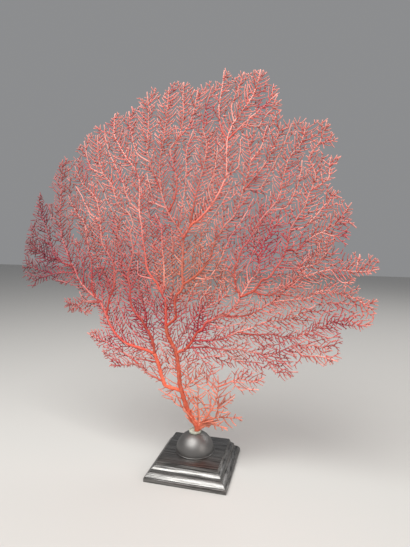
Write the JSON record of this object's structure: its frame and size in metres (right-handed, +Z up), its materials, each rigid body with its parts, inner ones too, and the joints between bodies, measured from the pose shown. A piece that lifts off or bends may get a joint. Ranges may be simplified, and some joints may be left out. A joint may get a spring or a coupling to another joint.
{
  "type": "sea fan on a stand",
  "caption": "Flat branching sea fan coral, standing upright from a small domed mount on a moulded square wooden plinth; a natural history display piece.",
  "frame": {"origin": "centre of the plinth's flat underside", "axes": "+X along the plinth's front edge to the viewer's right, +Y away from the viewer, across the fan's thin direction, +Z up; the fan stands over the plane Y = 0"},
  "size_m": [0.5207, 0.11, 0.5284],
  "materials": {
    "coral": "matt, finely rough, salmon red with pale twig ends",
    "blackened_wood": "ebonised and waxed, satin with visible grain",
    "dark_lacquer": "turned and polished, dark brown-black, glossy",
    "pale_ring": "satin, pale grey-green"
  },
  "bodies": {
    "root": {"plinth": "blackened_wood", "dome": "dark_lacquer", "collar": "pale_ring", "stem": "coral", "central-limb": "coral", "upright-limb": "coral", "upper-right-limb": "coral", "middle-right-limb": "coral", "left-stem": "coral", "inner-left-limb": "coral", "left-arc-limb": "coral", "left-rib-limb": "coral", "outer-left-limb": "coral", "left-lobe": "coral", "lobe-foot": "coral", "low-left-spray": "coral", "upper-left-spray": "coral", "right-limb": "coral", "outer-right-limb": "coral", "side-limb": "coral", "lower-right-limb": "coral", "lowest-right-limb": "coral", "low-right-spray": "coral"}
  },
  "joints": []
}
